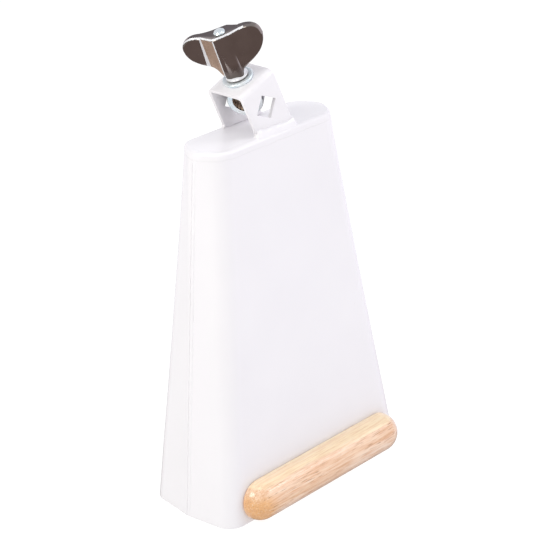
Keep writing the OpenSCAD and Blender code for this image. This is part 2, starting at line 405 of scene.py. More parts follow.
def wood():
    """Pale lacquered hardwood, grain along X: a painted warm light band on top, a painted pale pink reflection of the
    floor below, streaks and short pores.
    """
    m, nt, b = material("lacquered_hardwood")
    tc = node(nt, "ShaderNodeTexCoord")
    sep = node(nt, "ShaderNodeSeparateXYZ")
    nt.links.new(tc.outputs["Object"], sep.inputs["Vector"])
    x, z = sep.outputs["X"], sep.outputs["Z"]
    # streaks of three sizes, all drawn out along the grain
    wide = noise(nt, coords(nt, (18.0, 330.0, 330.0), location=(0.7, 0.2, 1.1)), 1.0, 3.0, 0.55)
    fib = noise(nt, coords(nt, (60.0, 1000.0, 1000.0)), 1.0, 4.0, 0.62)
    fine = noise(nt, coords(nt, (130.0, 2500.0, 2500.0), location=(2.0, 0.9, 0.4)), 1.0, 3.0, 0.6)
    # height up the bar, with a slight wander and slope, for the painted light bands
    drift = math_node(nt, "MULTIPLY", math_node(nt, "SUBTRACT", noise(nt, coords(nt, (22.0, 140.0, 140.0)), 1.0, 3.0), 0.5), 0.0042)
    level = math_node(nt, "ADD", math_node(nt, "ADD", z, drift), math_node(nt, "MULTIPLY", x, 0.012))
    # painted light: the top band is lit pale yellow; painted reflection: the low part is paler and pinker, as from the
    # white floor
    top_painted_light = remap(nt, level, 0.0194, 0.0205, 0.0, 1.0, True)
    lower = remap(nt, math_node(nt, "SUBTRACT", level, math_node(nt, "MULTIPLY", x, 0.05)), 0.0135, 0.0080, 0.0, 1.0, True)
    col = blend_colour(nt, lower, (0.91, 0.640, 0.44), (0.99, 0.775, 0.625))
    col = blend_colour(nt, top_painted_light, col, (0.99, 0.80, 0.535))
    # the left round end turns orange, most towards its lower part
    end = remap(nt, x, -0.0375, -0.0500, 0.0, 1.0, True)
    end = math_node(nt, "MULTIPLY", end, remap(nt, level, 0.0190, 0.0130, 0.15, 1.0, True))
    col = blend_colour(nt, math_node(nt, "MULTIPLY", end, 0.92), col, (0.85, 0.45, 0.17))
    # the streaks fade in the painted light on top and the painted reflection below
    calm = math_node(nt, "MULTIPLY", remap(nt, top_painted_light, 0.0, 1.0, 1.0, 0.5), remap(nt, lower, 0.0, 1.0, 1.0, 0.90))
    s1 = math_node(nt, "MULTIPLY", remap(nt, wide, 0.47, 0.64, 0.0, 0.50), calm)
    s1 = math_node(nt, "MULTIPLY", s1, remap(nt, x, 0.0, 0.045, 1.0, 0.45, True))
    col = blend_colour(nt, s1, col, (0.80, 0.46, 0.25))
    s2 = math_node(nt, "MULTIPLY", remap(nt, fib, 0.50, 0.64, 0.0, 0.72), calm)
    col = blend_colour(nt, s2, col, (0.74, 0.39, 0.20))
    col = blend_colour(nt, remap(nt, fib, 0.46, 0.34, 0.0, 0.45), col, (0.99, 0.83, 0.66))
    col = blend_colour(nt, math_node(nt, "MULTIPLY", remap(nt, fine, 0.52, 0.66, 0.0, 0.45), calm), col, (0.60, 0.30, 0.15))
    # short dark pores in loose rows
    pore = noise(nt, coords(nt, (150.0, 2300.0, 2300.0), location=(3.1, 1.7, 0.4)), 1.0, 1.0, 0.4)
    where = noise(nt, coords(nt, (34.0, 420.0, 420.0), location=(0.3, 5.0, 2.0)), 1.0, 2.0)
    where = math_node(nt, "ADD", where, remap(nt, x, -0.008, -0.032, 0.0, 0.09, True))
    dark = math_node(nt, "MULTIPLY", remap(nt, pore, 0.59, 0.67, 0.0, 1.0), remap(nt, where, 0.50, 0.60, 0.0, 1.0))
    # the pores fade in the painted light on top
    dark = math_node(nt, "MULTIPLY", dark, remap(nt, top_painted_light, 0.0, 1.0, 1.0, 0.10))
    col = blend_colour(nt, math_node(nt, "MULTIPLY", dark, 0.75), col, (0.42, 0.19, 0.085))
    nt.links.new(col, b.inputs["Base Color"])
    nt.links.new(remap(nt, fib, 0.3, 0.7, 0.26, 0.36), b.inputs["Roughness"])
    b.inputs["IOR"].default_value = 1.48
    b.inputs["Coat Weight"].default_value = 1.0
    b.inputs["Coat Roughness"].default_value = 0.22
    h = math_node(nt, "SUBTRACT", fib, math_node(nt, "MULTIPLY", dark, 1.2))
    bump(nt, h, b, 0.00002, 0.4)
    return m


def floor_paper():
    m, nt, b = material("floor_paper")
    v = coords(nt)
    f = remap(nt, noise(nt, v, 40.0, 3.0), 0.3, 0.7, 0.0, 1.0)
    nt.links.new(blend_colour(nt, f, (0.17, 0.17, 0.17), (0.19, 0.19, 0.19)), b.inputs["Base Color"])
    b.inputs["Roughness"].default_value = 0.9
    b.inputs["Specular IOR Level"].default_value = 0.0
    b.inputs["Emission Color"].default_value = (1, 1, 1, 1)
    b.inputs["Emission Strength"].default_value = 0.91
    return m


ENAMEL, ZINC, SHADE_EDGE, BORE_SHADE, CHROME, WOOD = enamel(), zinc(), shade_edge_zinc(), bore_painted_shade(), chrome(), wood()
HIGHLIGHT_EDGE, REFLECTION_FLAT = painted_highlight_edge(), painted_reflection_flat()


# ---------------------------------------------------------------- the bell's plan
class Plan:
    """Front half of the bell's plan at height z, moved in by t, with a softened seam."""

    def __init__(self, z, t):
        f = z / BELL_H
        a0, apex = mix(MOUTH["w"], CROWN["w"], f) / 2, mix(MOUTH["b"], CROWN["b"], f)
        d0, r0 = mix(MOUTH["d"], CROWN["d"], f) / 2, mix(MOUTH["r"], CROWN["r"], f)
        # the seam is crisp at the mouth and rounds out towards the crown, with its crest on one line
        rs = mix(1.0, 11.0, max(f, 0.0) ** 1.6)
        b0 = apex
        for _ in range(6):
            b0 = apex + rs * (math.hypot(b0, d0) / d0 - 1)
        d = d0 - t
        b = b0 * d / d0
        a = a0 + b0 - t * math.hypot(b0, d0) / d0 - b
        r = max(r0 - t, 0.8)
        self.A, self.B = np.array([-a - b, 0.0]), np.array([-a, -d])
        u = (self.A - self.B) / np.linalg.norm(self.A - self.B)
        v = np.array([1.0, 0.0])
        h = math.acos(float(u @ v)) / 2
        self.m = self.B + (u + v) / np.linalg.norm(u + v) * r / math.sin(h)
        self.r = r
        self.T1, self.T2 = self.B + u * r / math.tan(h), self.B + v * r / math.tan(h)
        p, q = self.T1 - self.m, self.T2 - self.m
        self.a1 = math.atan2(p[1], p[0])
        self.sw = (math.atan2(q[1], q[0]) - self.a1 + math.pi) % (2 * math.pi) - math.pi
        self.rs = max(rs - t, 0.5)
        self.beta = math.atan2(b, d)
        self.cx = self.A[0] + self.rs / math.cos(self.beta)
        self.arc = self.rs * self.beta
        self.tan = np.array([self.cx - self.rs * math.cos(self.beta), -self.rs * math.sin(self.beta)])
        self.flat = np.linalg.norm(self.T1 - self.tan)
        self.dir = (self.T1 - self.tan) / self.flat

    def seam_side(self, s):
        """Point and outward normal at distance s from the seam along the narrow side."""
        if s <= self.arc:
            th = s / self.rs
            n = np.array([-math.cos(th), -math.sin(th)])
            return np.array([self.cx, 0.0]) + self.rs * n, n
        return self.tan + self.dir * (s - self.arc), np.array([self.dir[1], -self.dir[0]])

    def columns(self, near, panel, corner, broad):
        """Left to right: near the seam in mm, then shares of the rest, the corner and the face."""
        pts = [self.seam_side(s)[0] for s in near]
        s0, s1 = near[-1], self.arc + self.flat
        pts += [self.seam_side(s0 + (s1 - s0) * k)[0] for k in panel]
        pts += [self.m + self.r * np.array([math.cos(self.a1 + self.sw * k), math.sin(self.a1 + self.sw * k)])
                for k in corner]
        left = np.array(pts)
        right = left[::-1] * np.array([-1, 1])
        mid = np.array([self.T2 + (np.array([-self.T2[0], self.T2[1]]) - self.T2) * k for k in broad])
        return np.concatenate([left, mid, right])


NEAR = [0.0, 0.14, 0.32, 0.7, 1.3, 2.0, 2.8]
PANEL = list(np.linspace(0, 1, 11)[1:-1])
CORNER = list(np.linspace(0, 1, 17))
BROAD = list(np.linspace(0, 1, 25)[1:-1])
HALF_N = 2 * (len(NEAR) + len(PANEL) + len(CORNER)) + len(BROAD)
GROOVE = np.zeros(HALF_N)
GROOVE[:3] = [0.50, 0.20, 0.03]
GROOVE[-3:] = GROOVE[:3][::-1]


def half_ring(z, t):
    return Plan(z, t).columns(NEAR, PANEL, CORNER, BROAD)


def full_ring(z, t):
    h = half_ring(z, t)
    return np.concatenate([h, h[-2:0:-1] * np.array([1, -1])])


def half_shell(name, node, side):
    """One stamped half: outside, rolled mouth edge, inside, with the sheet's edges at the seams eased."""
    lip = 0.62
    zs = lip + (SHELL_H - lip) * np.linspace(0, 1, 64)
    ang = np.radians([0, 18, 36, 54, 72, 90])
    prof = [(0.0, z, 1) for z in zs[::-1]]
    prof += [(lip * (1 - math.cos(a)), lip * (1 - math.sin(a)), 1) for a in ang[1:]]
    prof += [(SHEET - lip * (1 - math.cos(a)), lip * (1 - math.sin(a)), -1) for a in ang[:0:-1]]
    prof += [(SHEET, z, -1) for z in zs]
    rows = []
    for t, z, out in prof:
        base = half_ring(z, t)
        inner = half_ring(z, t + 0.5)
        nrm = (inner - base) / np.linalg.norm(inner - base, axis=1)[:, None]
        # faint unevenness of pressed sheet
        wav = 0.05 * ripple(base[:, 0] * 0.06 + z * 0.035, 11, 4) + 0.04 * ripple(z * 0.07 - base[:, 1] * 0.05, 12, 4)
        fade = smooth(0, 14, z) * (1 - smooth(184, 197, z))
        p = base + nrm * (GROOVE * out + wav * fade)[:, None]
        rows.append(np.column_stack([p[:, 0], p[:, 1] * side, np.full(len(p), z)]))
    rows = np.array(rows)
    r, n = rows.shape[:2]
    faces = grid_faces(r, n, wrap_rows=True)
    for j in (0, n - 1):
        for i in range(r // 2 - 1):
            faces.append((i * n + j, (i + 1) * n + j, (r - 2 - i) * n + j, (r - 1 - i) * n + j))
    me = raw_mesh(name, rows.reshape(-1, 3), faces)
    return finish_piece(name, me, [ENAMEL], "bell", node, 50)


half_shell("bell_front_half", "front_shell", 1)
half_shell("bell_rear_half", "rear_shell", -1)


# ---------------------------------------------------------------- crown
def crown_top():
    top, low = half_ring(BELL_H, 2.3), half_ring(SHELL_H, 1.5)
    m = 15
    s = np.linspace(0, 1, m)
    half = CROWN["d"] / 2
    rows = []
    for h, z in ((top, BELL_H), (low, SHELL_H)):
        for k in s:
            x = h[:, 0]
            y = h[:, 1] * (1 - 2 * k)
            # flat plate, sinking a hair under the rim
            edge = np.minimum(half - 2.3 - np.abs(y), 43.7 - np.abs(x))
            dip = 0.05 * (1 - smooth(0.2, 2.6, edge)) + 0.02 * np.abs(ripple(x * 0.07 + y * 0.1, 21, 3)) * smooth(1, 5, edge)
            rows.append(np.column_stack([x, y, z - dip * (z == BELL_H)]))
    rows = np.array(rows)
    n = rows.shape[1]
    faces = grid_faces(m, n) + grid_faces(m, n, base=m * n)
    for i, j in ((0, m), (m - 1, 2 * m - 1)):
        for c in range(n - 1):
            faces.append((i * n + c, i * n + c + 1, j * n + c + 1, j * n + c))
    me = raw_mesh("crown_top", rows.reshape(-1, 3), faces)
    finish_piece("crown_top", me, [ENAMEL], "bell", "crown_plate", 40)


def crown_rim():
    """The dressed weld around the crown: a small round running out flat on the plate."""
    ring = full_ring(SHELL_H, 0)
    seg = np.linalg.norm(np.roll(ring, -1, 0) - ring, axis=1)
    s = np.concatenate([[0], np.cumsum(seg)[:-1]])
    w = 2 * math.pi / seg.sum()
    swell = 0.07 * ripple(s * w * 9, 31, 5) + 0.05 * ripple(s * w * 23, 34, 3)
    low = 0.3 * ripple(s * w * 11, 33, 5)
    # inset, height, share of the swelling, share of the lower edge's wander
    prof = [(0.9, 195.9, 0, 1), (0.35, 195.7, 0, 1), (0.10, 195.7, 0, 1), (-0.03, 195.85, 0.5, 1), (-0.10, 196.1, 0.8, 1),
            (-0.12, 196.6, 1, 0.7), (-0.12, 197.2, 1, 0.3), (-0.10, 197.8, 1, 0)]
    for a in np.radians(np.arange(0, 91, 7.5)):
        prof.append((1.75 * (1 - math.cos(a)) - 0.08 * math.cos(a), 198.1 + 1.9 * math.sin(a), 1 - 0.6 * math.sin(a), 0))
    prof += [(2.3, 200.005, 0.2, 0), (2.9, 200.0, 0, 0), (3.5, 199.985, 0, 0), (4.2, 199.93, 0, 0), (4.4, 199.6, 0, 0),
             (3.4, 198.9, 0, 0), (2.2, 198.4, 0, 0), (1.4, 197.4, 0, 0)]
    rows = []
    for t, z, k, g in prof:
        base, inner = full_ring(z, t), full_ring(z, t + 0.3)
        nrm = (base - inner) / np.linalg.norm(base - inner, axis=1)[:, None]
        p = base + nrm * (swell * k)[:, None]
        rows.append(np.column_stack([p, z + low * g]))
    rows = np.array(rows)
    faces = grid_faces(rows.shape[0], rows.shape[1], True, True)
    me = raw_mesh("crown_rim_weld", rows.reshape(-1, 3), faces)
    finish_piece("crown_rim_weld", me, [ENAMEL], "bell", "crown_weld", 60)


crown_top()
crown_rim()


# ---------------------------------------------------------------- seam beads
def seam_bead(name, node, side, seed):
    """The dressed weld along a seam: a low uneven crest just in front of the joint."""
    zs = np.linspace(1.2, 196.6, 420)
    across = np.linspace(-1, 1, 13)
    rows = []
    for z in zs:
        pl = Plan(z, 0)
        end = min(1.0, (z - 1.2) / 5 + 0.15, (196.6 - z) / 3 + 0.15)
        h = (0.26 + 0.10 * float(ripple(z * 1.25, seed, 5)) + 0.06 * float(ripple(z * 0.35, seed + 1, 4))) * end
        c = 1.36 + 0.10 * float(ripple(z * 0.5, seed + 2, 5))
        w = 1.08 + 0.10 * float(ripple(z * 0.8, seed + 3, 5))
        pts = []
        for k in across:
            s = c + w * k
            p, n = pl.seam_side(abs(s))
            if s < 0:
                p, n = p * [1, -1], n * [1, -1]
            lift = h * (1 - k * k) ** 0.8 - (0.12 if abs(k) == 1 else 0.0)
            pts.append((*(p + n * lift), z))
        inner = []
        for k in across[::-1][2:-2:2]:
            s = c + w * k
            p, n = pl.seam_side(abs(s))
            if s < 0:
                p, n = p * [1, -1], n * [1, -1]
            inner.append((*(p - n * 0.5), z))
        rows.append(pts + inner)
    rows = np.array(rows)
    rows[..., 0] *= side
    r, n = rows.shape[:2]
    faces = grid_faces(r, n, False, True)
    faces += [tuple(range(n)), tuple((r - 1) * n + i for i in range(n))]
    me = raw_mesh(name, rows.reshape(-1, 3), faces)
    finish_piece(name, me, [ENAMEL], "bell", node, 60)


seam_bead("seam_bead_left", "left_seam_weld", 1, 41)
seam_bead("seam_bead_right", "right_seam_weld", -1, 51)


# ---------------------------------------------------------------- bracket
def arc2(cx, cy, r, a0, a1, n):
    return [(cx + r * math.cos(a), cy + r * math.sin(a)) for a in np.radians(np.linspace(a0, a1, n))]


def strap():
    ho, hi = SPAN / 2, SPAN / 2 - STRAP_T
    ro, ri = 3.4, 1.5
    low = -44.0
    outer = [(-ho, low)] + arc2(-ho + ro, -ro, ro, 180, 90, 13) + arc2(ho - ro, -ro, ro, 90, 0, 13) + [(ho, low)]
    inner = [(hi, low)] + arc2(hi - ri, -STRAP_T - ri, ri, 0, 90, 13) + arc2(-hi + ri, -STRAP_T - ri, ri, 90, 180, 13) + [(-hi, low)]
    loop = [(y + STRAP_Y - STUD[1], k) for y, k in outer + inner]
    n = len(loop)
    v = []
    for x in (-STRAP_W / 2, STRAP_W / 2):
        v += [(x, y, k) for y, k in loop]
    half = len(outer)
    f = [(i, (i + 1) % n, n + (i + 1) % n, n + i) for i in range(n)]
    for base in (0, n):
        for i in range(half - 1):
            f.append((base + i, base + i + 1, base + n - 2 - i, base + n - 1 - i))
    me = raw_mesh("strap", on_stud(np.array(v)), f)
    # the feet stand on the crown
    bm = bmesh.new()
    bm.from_mesh(me)
    geom = bm.verts[:] + bm.edges[:] + bm.faces[:]
    cut = bmesh.ops.bisect_plane(bm, geom=geom, dist=1e-7, plane_co=(0, 0, 0.20042), plane_no=(0, 0, 1), clear_inner=True)
    edges = [e for e in cut["geom_cut"] if isinstance(e, bmesh.types.BMEdge)]
    bmesh.ops.holes_fill(bm, edges=edges, sides=0)
    bmesh.ops.recalc_face_normals(bm, faces=bm.faces)
    bm.to_mesh(me)
    bm.free()
    # square rod holes on their corners, and the stud's hole
    h = 10.3 / math.sqrt(2)
    sq = [(0, h), (h, 0), (0, -h), (-h, 0)]
    tools = []
    for y0, y1 in ((-20, -5), (5, 20)):
        v = [(x, y, k - 14.9) for y in (y0, y1) for x, k in sq]
        f = [(0, 1, 2, 3), (7, 6, 5, 4)] + [(i, (i + 1) % 4, 4 + (i + 1) % 4, 4 + i) for i in range(4)]
        tools.append(raw_mesh("rod_hole", on_stud(np.array(v)), f))
    ring = [(3.5 * math.cos(a), 3.5 * math.sin(a)) for a in np.arange(48) * 2 * math.pi / 48]
    v = [(x, y, k) for k in (-6, 6) for x, y in ring]
    f = [tuple(range(48)), tuple(range(95, 47, -1))] + [(i, (i + 1) % 48, 48 + (i + 1) % 48, 48 + i) for i in range(48)]
    tools.append(raw_mesh("stud_hole", on_stud(np.array(v)), f))
    me = bevelled(carve(me, tools), 0.42, 3, 45)
    finish_piece("bracket_strap", me, [ENAMEL], "bell", "strap_bracket", 42)


strap()


def foot_weld(name, node, side, seed, face, reach, height):
    """Fillet of weld along a leg's foot: nearly smooth, a blob at the low corner, a flare at the high one."""
    x0 = STUD[0] + math.tan(TILT) * 28.1 - STRAP_W / 2 / math.cos(TILT)
    x1 = x0 + STRAP_W / math.cos(TILT)
    xs = np.concatenate([np.linspace(x0 - 1.7, x0 + 2.4, 30)[:-1], np.linspace(x0 + 2.4, x1 - 4, 60)[:-1],
                         np.linspace(x1 - 4, x1 + 1.9, 40)])
    rows = []
    for x in xs:
        lump = 0.17 * float(ripple(x * 0.42, seed, 3)) + 0.05 * float(ripple(x * 1.3, seed + 1, 3))
        # thicker at the low corner, where the bead began
        blob = math.exp(-((x - x0 - 1.6) / 2.3) ** 2)
        h = height + lump + 0.75 * blob + 0.3 * float(smooth(x1 - 5, x1 - 0.5, x))
        # both ends wrap round the strap's edge and run out on the crown
        h *= max(0.0, 1 - max(0.0, x - x1 + 0.4) / 2.3) ** 1.5
        h *= float(smooth(x0 - 1.7, x0 + 0.5, x)) ** 0.7
        h = max(h, 0.05)
        w = reach * (1.0 + 0.05 * float(ripple(x * 0.5, seed + 2, 3)) + 0.10 * blob)
        w *= 0.45 + 0.55 * float(smooth(x0 - 1.7, x0 + 0.9, x))
        w *= 0.45 + 0.55 * float(smooth(x1 + 1.9, x1 - 1.2, x))
        back = 1.55 + 0.30 * blob
        # a nearly straight fillet from the leg's face down to the rim, where it runs out
        inset = CROWN["d"] / 2 - face - w
        toe = -1.9 * (1 - math.sqrt(max(0.0, 1 - max(0.0, 1 - inset / 1.75) ** 2))) - 0.06
        prof = [(-back, 0.55 * h), (-back + 0.25, 0.86 * h), (-0.95, 0.99 * h), (-0.45, 1.0 * h), (-0.12, 0.985 * h)]
        for t in (0.06, 0.16, 0.28, 0.40, 0.52, 0.64, 0.76, 0.88):
            prof.append((w * t, mix(h, toe, t) + 0.20 * h * math.sin(math.pi * t) * (1 - 0.35 * t)))
        prof += [(w, toe), (w - 0.10, toe - 0.45), (0.4 * w, -1.5), (-0.8, -1.1), (-back, -0.6)]
        rows.append([(x, -(face + o) * side, BELL_H + z) for o, z in prof])
    rows = np.array(rows)
    r, n = rows.shape[:2]
    faces = grid_faces(r, n, False, True) + [tuple(range(n)), tuple((r - 1) * n + i for i in range(n))]
    me = raw_mesh(name, rows.reshape(-1, 3), faces)
    ob = new_object("weld_target", me)
    m = ob.modifiers.new("sub", "SUBSURF")
    m.levels = m.render_levels = 1
    out = evaluated(ob)
    bpy.data.objects.remove(ob)
    out.materials.clear()
    finish_piece(name, out, [ENAMEL], "bell", node, 80)


foot_weld("bracket_weld_front", "front_bracket_weld", 1, 61, SPAN / 2 - STRAP_Y, 2.75, 3.3)
foot_weld("bracket_weld_rear", "rear_bracket_weld", -1, 71, SPAN / 2 + STRAP_Y, 1.5, 2.3)


# ---------------------------------------------------------------- clamp
def eye_bolt():
    """Ring with a toothed bore and a fine turned line, and a threaded stud."""
    R, b, h = 9.3, 5.0, 3.5
    teeth = 22
    n = teeth * 16
    prof = []
    # outer face: front face with a turned line, rounded outer edges
    for sgn in (1, -1):
        face = [(b + 1.55, h), (R - 2.05, h), (R - 1.72, h), (R - 1.6, h - 0.16), (R - 1.48, h - 0.16), (R - 1.36, h), (R - 0.62, h),
                (R - 0.28, h - 0.1), (R - 0.08, h - 0.3), (R, h - 0.62)]
        pts = [(r, w * sgn) for r, w in face]
        prof += pts if sgn > 0 else pts[::-1]
    n_out = len(prof)
    bore = [(b + 1.5, -h + 0.03), (b + 1.0, -h + 0.5), (b + 0.5, -h + 0.95), (b, -h + 1.4), (b, -1.0), (b, 0.0), (b, 1.0),
            (b, h - 1.4), (b + 0.5, h - 0.95), (b + 1.0, h - 0.5), (b + 1.5, h - 0.03)]
    prof += bore
    ct, st = math.cos(EYE_TURN), math.sin(EYE_TURN)

    def place(p):
        # local axis across the strap: x along the slope, z up, axis along -y, then turned about the stud
        x, z, y = p[:, 0], p[:, 1], -p[:, 2]
        q = np.stack([x * ct - y * st, x * st + y * ct, z - EYE_DROP], -1)
        return on_stud(q)

    def toothed(r, w, t):
        inside = r < b + 1.4
        tooth = 0.5 + 0.5 * math.cos(teeth * t)
        sharp = tooth ** 0.6
        return np.where(inside, r + 0.02 + 0.62 * sharp * np.clip((b + 1.4 - r) / 0.6, 0, 1), r)

    v, f = revolve(prof, n, place, True, 0.0, toothed)
    k = len(prof)
    # material 1 is the bore's painted shade, material 2 a painted-shade outline on the ring's outer rounded edge
    fm = []
    for i in range(n):
        for j in range(k):
            fm.append(1 if j >= n_out - 1 else (2 if 7 <= j <= 11 else 0))
    v, f, fm = list(v), list(f), list(fm)
    nr = len(f)
    # stud with a rolled M6 thread, chamfered end
    seg, per = 40, 14
    k0, k1 = -EYE_DROP + R - 1.2, 30.3
    ks = np.arange(k0, k1 + 1e-6, 1.0 / per)
    base = len(v)
    th = np.arange(seg) * 2 * math.pi / seg
    ringpts = []
    for kk in ks:
        ph = (kk - th / (2 * math.pi)) % 1.0
        tri = np.abs(2 * ph - 1)
        prof_r = 2.47 + 0.5 * np.clip((tri - 0.12) / 0.72, 0, 1)
        top = np.clip((k1 - kk) / 0.75, 0, 1)
        prof_r = np.minimum(prof_r, 2.2 + 0.78 * top)
        root = np.clip((kk - k0 - 1.3) / 1.5, 0, 1)
        prof_r = prof_r * root + (1 - root) * 2.95
        ringpts.append(np.stack([prof_r * np.cos(th), prof_r * np.sin(th), np.full(seg, kk)], -1))
    for g in ringpts:
        v += list(on_stud(g))
    rf = grid_faces(len(ks), seg, False, True, base)
    f += rf
    fm += [0] * len(rf)
    last = base + (len(ks) - 1) * seg
    # end face with a slight dish
    c1 = len(v)
    v += list(on_stud(np.stack([1.1 * np.cos(th), 1.1 * np.sin(th), np.full(seg, k1 - 0.12)], -1)))
    for i in range(seg):
        f.append((last + i, last + (i + 1) % seg, c1 + (i + 1) % seg, c1 + i))
    f.append(tuple(c1 + i for i in range(seg)))
    f.append(tuple(base + i for i in range(seg)))
    fm += [0] * (seg + 2)
    ring_me = raw_mesh("eye_ring", np.array(v[:base]), f[:nr], fm[:nr], weld=2e-7)
    stud_me = raw_mesh("eye_stud", np.array(v[base:]), [tuple(i - base for i in q) for q in f[nr:]], fm[nr:], weld=2e-7)
    obs = []
    for part, tmp in (("eye_ring_tmp", ring_me), ("eye_stud_tmp", stud_me)):
        for mat in (ZINC, BORE_SHADE, SHADE_EDGE):
            tmp.materials.append(mat)
        obs.append(new_object(part, tmp))
    mod = obs[0].modifiers.new("union", "BOOLEAN")
    mod.operation, mod.solver, mod.object = "UNION", "MANIFOLD", obs[1]
    me = tidy(evaluated(obs[0]))
    kinds = np.zeros(len(me.polygons), np.int32)
    me.polygons.foreach_get("material_index", kinds)
    for ob in obs:
        bpy.data.objects.remove(ob)
    me.materials.clear()
    ob = finish_piece("eye_and_stud", me, [ZINC, BORE_SHADE, SHADE_EDGE], "eye", "eye_bolt", 38)
    ob.data.polygons.foreach_set("material_index", np.clip(kinds, 0, 2))


eye_bolt()


def washer():
    a = []
    ro, ri, k0, k1, e = 8.0, 3.3, 0.05, 1.65, 0.6
    q = np.radians(np.linspace(0, 90, 6))
    a += [(ro - e + e * math.cos(t), k1 - e + e * math.sin(t)) for t in q]
    a += [(ro - 1.2, k1), (ro - 2.2, k1 - 0.03), (ri + 1.2, k1 - 0.03)]
    a += [(ri + 0.25, k1), (ri, k1 - 0.25), (ri, k0 + 0.25), (ri + 0.25, k0)]
    a += [(ro - 1.0, k0)]
    a += [(ro - e + e * math.cos(t), k0 + e - e * math.sin(t)) for t in q[::-1]]
    v, f = revolve(a, 128, on_stud)
    me = raw_mesh("washer_disc", v, f)
    finish_piece("washer_disc", me, [ZINC], "washer", "flat_washer", 50)


washer()


def smooth_curve(points, per=24):
    """A dense smooth line through points."""
    p = np.asarray(points, float)
    e = np.vstack([2 * p[0] - p[1], p, 2 * p[-1] - p[-2]])
    out = []
    for i in range(1, len(e) - 2):
        p0, p1, p2, p3 = e[i - 1], e[i], e[i + 1], e[i + 2]
        for t in np.arange(per) / per:
            out.append(0.5 * ((2 * p1) + (p2 - p0) * t + (2 * p0 - 5 * p1 + 4 * p2 - p3) * t * t
                              + (-p0 + 3 * p1 - 3 * p2 + p3) * t ** 3))
    out.append(p[-1])
    return np.array(out)


def along(curve):
    s = np.concatenate([[0], np.cumsum(np.linalg.norm(np.diff(curve, axis=0), axis=1))])
    return s


